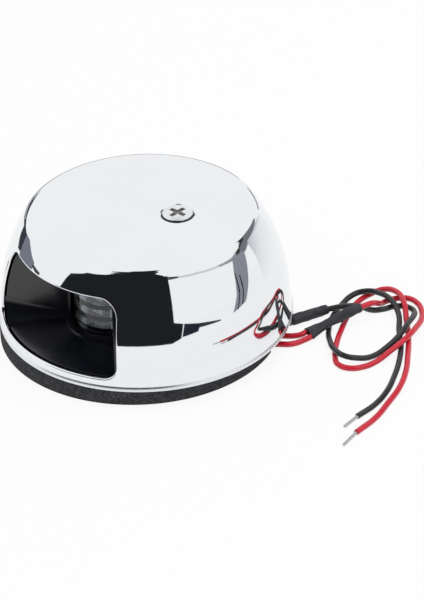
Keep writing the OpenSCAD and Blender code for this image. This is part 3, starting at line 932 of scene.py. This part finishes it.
def screw_ring():
    """Conical ring between the dimple and the screw head."""
    low, high = (DIMPLE_HOLE_R + z - DIMPLE_LOW for z in (RING_LOW, RING_HIGH))
    inset = CONE_ROOM - RING_GAP
    bm = turned([(low - RING_GAP, RING_LOW), (high - RING_GAP, RING_HIGH), (high - inset, RING_HIGH),
                 (low - inset, RING_LOW)], closed=True)
    ease(bm, RING_EASE)
    bmesh.ops.translate(bm, vec=SCREW_AT, verts=bm.verts)
    return bm


black_rubber = mottled("black_rubber", ("#38393D", "#45464B"), 0.6, (0.5, 0.7), 0.02, {"IOR": 1.52})
seal_ring = fit(finished(screw_ring(), "screw_ring"), "seal_ring", "black_rubber", "screw_seal")
paint(black_rubber, seal_ring)

# %% [markdown]
# The lens is a clear moulded cup. Rings of V grooves on its inside bend the light of the
# LEDs into a flat beam, and a flange at its foot clamps it. It is one spun outline, walked
# down its grooved inside and back up its outside. Polycarbonate bends light strongly, so
# the grooves show as dark and light bands.

# %% Lens
lens_low, lens_high = box_mm("lens")
LENS_AT = Vector((0, (lens_low[1] + lens_high[1]) / 2, 0))
LENS_R = 9.9
LENS_BORE_R = 8.2
LENS_TOP = lens_high[2]
LENS_ROOF = 1.5
LENS_CHAMFER = 0.8
LENS_EASE = 0.18
FLANGE_R = lens_high[0]
FLANGE_Z = lens_low[2]
FLANGE_T = 0.65
GROOVES = 5
GROOVE_STEP = 3.7
GROOVE_LOW = 9.4
GROOVE_TALL = 3.2
GROOVE_DEEP = 0.9


def lens_mesh():
    """The clear cup, flange down."""
    inside = [(0, LENS_TOP - LENS_ROOF), (LENS_BORE_R, LENS_TOP - LENS_ROOF)]
    for i in range(GROOVES - 1, -1, -1):
        z = GROOVE_LOW + GROOVE_STEP * i
        inside += [(LENS_BORE_R, z + GROOVE_TALL), (LENS_BORE_R + GROOVE_DEEP, z + GROOVE_TALL / 2),
                   (LENS_BORE_R, z)]
    flange = [(LENS_BORE_R, FLANGE_Z), (FLANGE_R, FLANGE_Z), (FLANGE_R, FLANGE_Z + FLANGE_T)]
    outside = [(LENS_R, FLANGE_Z + FLANGE_T), (LENS_R, LENS_TOP - LENS_CHAMFER),
               (LENS_R - LENS_CHAMFER, LENS_TOP), (0, LENS_TOP)]
    bm = turned(inside + flange + outside)
    ease(bm, LENS_EASE)
    bmesh.ops.translate(bm, vec=LENS_AT, verts=bm.verts)
    return bm


clear_lens = mottled("clear_polycarbonate", ("#DDE7F5", "#EAF1FA"), 2.0, (0.02, 0.08), 0.004,
                     {"IOR": 1.585, "Transmission Weight": 1.0})
lens = fit(finished(lens_mesh(), "ribbed_lens", sharp=30), "base", "clear_lens", "lens")
paint(clear_lens, lens)

# %% [markdown]
# The inner parts keep the exact shapes that the CAD gives them. A moulded or machined part
# never has knife edges, though, and rounded edges are what catches the light. So each one
# is a copy of its node with the doubled vertices merged, the flat triangles dissolved into
# whole faces, and the hard edges rounded by a small bevel. The table gives each one's name,
# the width of its bevel and its slot.

# %% Eased copies of CAD nodes
INNER_PARTS = {
    "light_shroud": ("black_shroud", 0.2, "black_gloss"),
    "base_plate": ("black_base", 0.2, "black_abs"),
    "screw_insert": ("threaded_insert", 0.15, "brass"),
    "foam_gasket": ("foam_pad", 0.35, "foam"),
    "board_holder": ("board_posts", 0.12, "white_plastic"),
    "led_board": ("dark_led_board", 0.06, "dark_board"),
    "led_emitters": ("led_packages", 0.08, "led_yellow"),
    "board_resistors": ("chip_resistors", 0.06, "dark_ceramic"),
    "board_pins": ("board_legs", 0.05, "brass"),
    "wire_seal": ("potted_plug", 0.2, "black_rubber"),
    "lens_seal": ("lens_gasket", 0.08, "black_rubber"),
    "shroud_screws": ("shroud_fixings", 0.06, "zinc_steel"),
}


def eased(node, name, width):
    """A copy of a CAD node with its hard edges rounded over by a width in mm."""
    bm = bmesh.new()
    bm.from_mesh(frame["nodes"][node].data)
    bmesh.ops.scale(bm, vec=(1 / MM, 1 / MM, 1 / MM), verts=bm.verts)
    bmesh.ops.remove_doubles(bm, verts=bm.verts, dist=1e-3)
    bmesh.ops.dissolve_limit(bm, angle_limit=math.radians(0.5), verts=bm.verts, edges=bm.edges)
    ease(bm, width)
    return finished(bm, name, sharp=30)


inner = {
    node: fit(eased(node, name, width), "base", slot, node)
    for node, (name, width, slot) in INNER_PARTS.items()
}

# %% [markdown]
# Inside the shroud the floor runs up into the left wall in a hollow fillet, which shows as
# a soft band of light where a plain corner would show a hard line. The CAD corner is
# sharp, so the fillet is a piece of its own: one hollow section, lofted from the window to
# the lens while it gets smaller.

# %% Shroud fillet
FILLET_FRONT = Vector((-21.8, -31.4, 8.6))
FILLET_BACK = Vector((-9.3, -20.6, 8.6))
FILLET_R = (6.2, 2.6)
FILLET_SINK = 0.05
FILLET_STEPS = 9


def shroud_fillet():
    """A hollow fillet along the left corner of the shroud's floor, in millimetres."""
    inward = Vector((-FILLET_FRONT.x, -FILLET_FRONT.y, 0)).normalized()
    ahead = (FILLET_BACK - FILLET_FRONT).normalized()
    stations = [station(FILLET_FRONT, inward, FILLET_R[0], FILLET_R[0]),
                station(FILLET_BACK, ahead, FILLET_R[1], FILLET_R[1])]
    turns = [math.pi / 2 * i / FILLET_STEPS for i in range(FILLET_STEPS + 1)]
    section = [(1 - math.cos(a), 1 - math.sin(a)) for a in turns]
    section += [(1, -FILLET_SINK), (-FILLET_SINK, -FILLET_SINK), (-FILLET_SINK, 1)]
    bm = bmesh.new()
    verts = [bm.verts.new(stations[0] @ Vector((across, up, 0))) for across, up in section]
    ring = [bm.edges.new(pair) for pair in zip(verts, verts[1:] + verts[:1])]
    loft(bm, stations, ring)
    return bm


fillet = fit(finished(shroud_fillet(), "shroud_fillet", sharp=30), "base", "black_gloss")

# %% [markdown]
# The shroud is moulded in black ABS with a gloss from the mould, so that it looks like dark
# glass with faint soft streaks. The base is the same plastic left matt. Turned brass is warm
# and half bright, zinc plate is a cooler and duller grey, and nylon is a milky white. On the
# board the solder mask is smooth and dark, the phosphor of the LEDs is a pale yellow, and the
# ceramic of the resistors is nearly black. The finishes go to the pieces by their slots, and
# the foam waits for the next step.

# %% Inner finishes
finishes = {
    "black_gloss": mottled("glossy_black_abs", ("#0B0D13", "#12151D"), 1.5, (0.16, 0.3), 0.01,
                           {"IOR": 1.54, "Coat Weight": 0.3, "Coat Roughness": 0.18}),
    "black_abs": mottled("matt_black_abs", ("#17181A", "#222326"), 0.5, (0.42, 0.6), 0.03, {"IOR": 1.54}),
    "brass": mottled("turned_brass", ("#B5924C", "#C9A860"), 0.4, (0.22, 0.38), 0.01, {"Metallic": 1.0}),
    "zinc_steel": mottled("zinc_plated_steel", ("#A9ACB0", "#C3C6CA"), 0.5, (0.25, 0.42), 0.01,
                          {"Metallic": 1.0}),
    "white_plastic": mottled("white_nylon", ("#DEDED9", "#EBEBE7"), 0.7, (0.4, 0.55), 0.02, {"IOR": 1.53}),
    "dark_board": mottled("dark_solder_mask", ("#2A2F3C", "#343A48"), 0.6, (0.25, 0.38), 0.01,
                          {"IOR": 1.55}),
    "led_yellow": mottled("led_phosphor", ("#C9C6B4", "#D8D6C8"), 0.4, (0.35, 0.5), 0.02, {"IOR": 1.5}),
    "dark_ceramic": mottled("dark_ceramic", ("#202124", "#2E3034"), 0.3, (0.3, 0.5), 0.02, {"IOR": 1.6}),
    "black_rubber": black_rubber,
}
for node, (_, _, slot) in INNER_PARTS.items():
    if slot in finishes:
        paint(finishes[slot], inner[node])
paint(finishes["black_gloss"], fillet)

# %% [markdown]
# The gasket is closed-cell foam, cut through so that its edge shows open cells. A Voronoi
# pattern at the size of the cells gives the relief, and the same pattern paints the pits
# darker in the colour as shade; a coarser noise keeps the edge from looking printed. The
# cells are about 0.4 mm wide and are drawn at 0.5 mm, so that they show.

# %% Foam
CELL = 0.5
DRIFT = 1.4
PIT_DEPTH = 0.25
# Range of the cell pattern over which the pits' painted shade fades into the wall colour.
PIT_SHADE_RANGE = (0.05, 0.42)
FOAM_ROUGH = (0.75, 0.95)


def cut_foam(name, pit_shade, wall):
    """Charcoal foam with open cells, its pits painted darker as shade."""
    material, tree, shader, place = start(name, {"IOR": 1.45, "Specular IOR Level": 0.25})
    cells = put(tree, "ShaderNodeTexVoronoi", {"Vector": place, "Scale": per_mm(CELL)}, feature="F1")
    drift = put(tree, "ShaderNodeTexNoise", {"Vector": place, "Scale": per_mm(DRIFT), "Detail": 6.0})
    mix = put(tree, "ShaderNodeMath",
              {0: cells.outputs["Distance"], 1: drift.outputs["Fac"]}, operation="MULTIPLY")
    ramp = put(tree, "ShaderNodeMapRange",
               {"Value": mix.outputs["Value"], "From Min": PIT_SHADE_RANGE[0], "From Max": PIT_SHADE_RANGE[1]})
    blend = put(tree, "ShaderNodeMix",
                {"Factor": ramp.outputs["Result"], "A": srgb(pit_shade), "B": srgb(wall)}, data_type="RGBA")
    tree.links.new(blend.outputs["Result"], shader.inputs["Base Color"])
    dull = put(tree, "ShaderNodeMapRange",
               {"Value": drift.outputs["Fac"], "To Min": FOAM_ROUGH[0], "To Max": FOAM_ROUGH[1]})
    tree.links.new(dull.outputs["Result"], shader.inputs["Roughness"])
    relief = put(tree, "ShaderNodeBump",
                 {"Height": mix.outputs["Value"], "Distance": PIT_DEPTH * MM, "Strength": 0.9})
    tree.links.new(relief.outputs["Normal"], shader.inputs["Normal"])
    return material


# The first colour is the pits' painted shade, the second the foam's own wall colour.
paint(cut_foam("closed_cell_foam", "#222325", "#4C4D50"), inner["foam_gasket"])

# %% [markdown]
# The stage is a white table in a light tent. The table is a plain pale sheet that still
# takes a faint shadow. It shines a little by itself for the rays that are seen, because a
# sheet that is only lit looks grey beside the white surround.

# %% Table
FLOOR_HALF = 2.0
FLOOR_GLOW = 0.89


def stage_object(bm, name, material):
    """A stage mesh in metres with its material."""
    mesh = as_mesh(bm, name)
    mesh.materials.append(material)
    mesh.shade_smooth()
    piece = linked(name, mesh)
    return piece


def seen_rays(tree):
    """1 for camera, glossy and transmission rays, 0 for the rays that light things."""
    path = put(tree, "ShaderNodeLightPath")
    first = put(tree, "ShaderNodeMath", {0: path.outputs["Is Camera Ray"], 1: path.outputs["Is Glossy Ray"]},
                operation="MAXIMUM")
    return put(tree, "ShaderNodeMath", {0: first.outputs["Value"], 1: path.outputs["Is Transmission Ray"]},
               operation="MAXIMUM").outputs["Value"]


def white_table():
    """Diffuse white that looks white itself, with a faint shadow left on it."""
    material = bpy.data.materials.new("white_table")
    material.use_nodes = True
    tree = material.node_tree
    tree.nodes.clear()
    matt = put(tree, "ShaderNodeBsdfDiffuse", {"Color": srgb("#F3F3F3")})
    glow = put(tree, "ShaderNodeEmission", {"Color": srgb("#FFFFFF"), "Strength": 1.0})
    share = put(tree, "ShaderNodeMath", {0: seen_rays(tree), 1: FLOOR_GLOW}, operation="MULTIPLY")
    both = put(tree, "ShaderNodeMixShader",
               {0: share.outputs["Value"], 1: matt.outputs[0], 2: glow.outputs[0]})
    put(tree, "ShaderNodeOutputMaterial", {"Surface": both.outputs[0]})
    return material


floor_mesh = bmesh.new()
bmesh.ops.create_grid(floor_mesh, x_segments=1, y_segments=1, size=FLOOR_HALF)
table = stage_object(floor_mesh, "table", white_table())
print("the table is", table.dimensions.x, "m wide")

# %% [markdown]
# The cap mirrors whatever stands round it, so the tent's gaps and panels are cards. Only
# reflections see them: they neither light the part nor stand in the picture. A card is a
# patch between two lines of directions, each given by azimuth and height, so that it can be
# read straight off the reflections: where on the cap a bright or dark shape lies says in
# which direction the thing stands. A direction that points below the horizon ends on the
# table, and the rest end on a wide sphere round the light. Each new card stands a little
# nearer than the last, so that it covers it cleanly.

# %% Card helper
CARD_R = 1.8
CARD_COLUMNS = 12
CARD_ROWS = 40
TABLE_GAP = 0.0004
LAYER_STEP = 0.004
TABLE_LAYERS = 50
CAP_FRONT = Vector((0.028, -0.022, 0.02))
CAP_LEFT = Vector((-0.013, -0.035, 0.028))


def along(line, t):
    """The azimuth and height at a share t of a line of directions, evenly by its points."""
    at = t * (len(line) - 1)
    i = min(int(at), len(line) - 2)
    return Vector(line[i]).lerp(Vector(line[i + 1]), at - i)


def card(name, low, high, colour, high_colour=None, seen_from=CAP_FRONT):
    """A patch between two lines of directions from a point of the cap, seen only in reflections."""
    layer = LAYER_STEP * sum(o.name.startswith("card_") for o in bpy.data.objects)
    bm = bmesh.new()
    bmesh.ops.create_grid(bm, x_segments=CARD_COLUMNS * (len(low) - 1), y_segments=CARD_ROWS, size=0.5)
    rise = bm.verts.layers.float.new("rise")
    for v in bm.verts:
        v[rise] = v.co.y + 0.5
        azimuth, height = along(low, v.co.x + 0.5).lerp(along(high, v.co.x + 0.5), v.co.y + 0.5)
        way = heading(math.radians(azimuth), math.radians(height))
        reach = CARD_R - layer
        if way.z < 0:
            reach = min(reach, (seen_from.z - TABLE_GAP - layer / TABLE_LAYERS) / -way.z)
        v.co = seen_from + way * reach
    material = bpy.data.materials.new(name)
    material.use_nodes = True
    tree = material.node_tree
    tree.nodes.clear()
    share = put(tree, "ShaderNodeAttribute", attribute_name="rise").outputs["Fac"]
    tone = put(tree, "ShaderNodeMix",
               {"Factor": share, "A": srgb(colour), "B": srgb(high_colour or colour)}, data_type="RGBA")
    glow = put(tree, "ShaderNodeEmission", {"Color": tone.outputs["Result"], "Strength": 1.0})
    put(tree, "ShaderNodeOutputMaterial", {"Surface": glow.outputs[0]})
    piece = stage_object(bm, "card_" + name, material)
    piece.visible_camera = False
    piece.visible_diffuse = False
    piece.visible_shadow = False
    piece.visible_transmission = False
    print(piece.name, "in", colour)


# %% [markdown]
# In front the tent is open for the camera, and overhead it has a gap. Both are dark and
# close up to one dark shape on the cap. To the right of it stands a white panel, of which
# only the dark foot and the grey upper edge are cards.

# %% Front cards
DARK = "#202125"
card("front_gap_left", [(-40, -12.6), (-30, -12.6), (-20, -12.6), (-10, -12.6), (2, -12.6)],
     [(-27.3, 10.5), (-25, 16.6), (-22.6, 20.8), (-10, 26.5), (-0.6, 33.4)], DARK)
card("front_gap", [(-1, -12.6), (68.5, -12.4)], [(-1, 33.2), (70.3, 33)], DARK)
card("front_gap_high", [(-1, 33), (1.6, 40.4), (4, 47.6), (1.2, 59.7), (-15.3, 73.3)],
     [(67, 31), (66.5, 42), (66, 54), (66.4, 66), (68.6, 75)], DARK)
CEILING_EDGE = [
    (-187, 84), (-152, 78.5), (-141, 71), (-135.5, 56), (-132.5, 43), (-130.5, 43), (-127, 57), (-88, 77.2),
    (-15.3, 73.3), (30, 72), (69.5, 73.2), (83, 80.6), (105, 83.2), (147, 84.3), (173, 84),
]
card("ceiling_gap", CEILING_EDGE, [(azimuth, 90) for azimuth, _ in CEILING_EDGE], DARK)
card("panel_foot", [(68.4, -12.4), (76, -9.4)], [(68.4, 2), (76, 0)], DARK)
card("panel_foot_right", [(76.8, -8.6), (90.5, -7.4)], [(76.8, -0.3), (90.5, -2.8)], "#262A33")
card("panel_foot_end", [(90.5, -5.2), (110, -6.5)], [(90.5, -2.7), (110, -5.8)], "#33363E")
card("panel_top", [(70, 30.3), (80, 29.4)], [(70, 32.4), (80, 30.6)], "#55565A")
card("panel_top_middle", [(80, 29.4), (100, 25.6), (120, 20)], [(80, 30.6), (100, 26.8), (120, 21.2)],
     "#D2D3D7")
card("panel_top_right", [(120, 20), (134, 15.2), (150, 12)], [(120, 21.2), (134, 16.8), (150, 14.4)],
     "#8E9096")

# %% [markdown]
# On the right the tent's two sheets part, and a grey stand with two dark posts shows
# between them. Over it a grey sheet hangs down behind, dark along its upper hem. On the
# left a dark fold shows. All of them are only narrow bands on the cap's round corner.

# %% Side cards
card("stand", [(121.9, -6.3), (126.7, 4), (130, 10.9), (134.2, 15.5), (143, 14.8)],
     [(135.2, -5.5), (138, -2.3), (142.4, 2.5), (148.4, 9), (148, 13)], "#8D9099")
POST = "#2A2C33"
card("stand_post_near", [(126.2, -6.2), (128.2, 2.8), (129.8, 9.9)],
     [(127.4, -6.2), (129.6, 2.8), (130.8, 9.9)], POST)
card("stand_post_far", [(131, -5.6), (132.2, 2.2), (133.2, 6.6)],
     [(132.2, -5.6), (133.6, 2.2), (134.2, 6.6)], POST)
card("back_sheet_foot", [(158, -8), (175, -8), (192, -9)], [(157, 8.6), (172, 18), (190, 26)],
     "#FFFFFF", "#C4C5CB")
card("back_sheet", [(149, 9.6), (157, 8.4), (170, 17), (185, 24), (200, 29), (212, 33)],
     [(145.4, 13.6), (157.2, 30.4), (170, 38), (190, 43), (206, 42), (213, 38)], "#77787D")
card("back_sheet_hem", [(140.7, 14), (145.6, 12.6), (158.4, 29.2), (171, 36.6), (190, 41.6), (208, 40.6)],
     [(140.7, 15.6), (144.4, 15), (155.4, 31.8), (169, 40.2), (190, 45.2), (209, 43.4)], "#3A3B3E")
card("side_wedge", [(196, 2), (205, 7), (213, 13)], [(196, 12), (206, 16), (215, 21)], "#8E8F98")
card("horizon", [(-145, -5), (-100, -5)], [(-145, 10), (-100, 10)], "#A6A7AC")
card("left_fold", [(-124, 23), (-119, 16), (-112, 7), (-103, -5), (-97, -9), (-90.5, -9.6), (-84, -7.4)],
     [(-124, 27), (-118, 24), (-110, 20), (-100, 14), (-92, 6.4), (-86.4, -0.4), (-83, -6.4)], "#3C3D45",
     seen_from=CAP_LEFT)
card("left_fold_face", [(-83.4, -9), (-73, -7), (-60, -4)], [(-86, -0.4), (-72.6, 1.8), (-60, 3)], "#7B7E8A",
     seen_from=CAP_LEFT)
card("left_streak", [(-61, 0.4), (-50, 2.2)], [(-61, 2), (-50, 4.2)], "#4A4B52", seen_from=CAP_LEFT)

# %% [markdown]
# The light itself is plain: a white surround for everything, and one large soft lamp
# overhead that models the leads and the foam a little. The surround shines at full white
# for the rays that are seen and a little lower for those that light the object.

# %% Light
AMBIENT = 0.7
LAMP_WATTS = 4.6
LAMP_SIZE = 0.9
LAMP_AT = (0.25, 0.15, 1.0)

world = bpy.data.worlds.new("tent")
bpy.context.scene.world = world
world.use_nodes = True
world.node_tree.nodes.clear()
ambient = put(world.node_tree, "ShaderNodeBackground", {"Color": srgb("#FFFFFF"), "Strength": AMBIENT})
white = put(world.node_tree, "ShaderNodeBackground", {"Color": srgb("#FFFFFF"), "Strength": 1.0})
sky = put(world.node_tree, "ShaderNodeMixShader",
          {0: seen_rays(world.node_tree), 1: ambient.outputs[0], 2: white.outputs[0]})
put(world.node_tree, "ShaderNodeOutputWorld", {"Surface": sky.outputs[0]})
lamp = linked("soft_lamp", bpy.data.lights.new("soft_lamp", "AREA"))
lamp.data.energy = LAMP_WATTS
lamp.data.size = LAMP_SIZE
lamp.location = LAMP_AT
lamp.rotation_euler = (-Vector(LAMP_AT)).to_track_quat("-Z", "Y").to_euler()
lamp.visible_glossy = False
bpy.context.scene.view_settings.view_transform = "Standard"
print("lamp of", LAMP_WATTS, "W at", LAMP_AT)

# %% Scene update
bpy.context.view_layer.update()
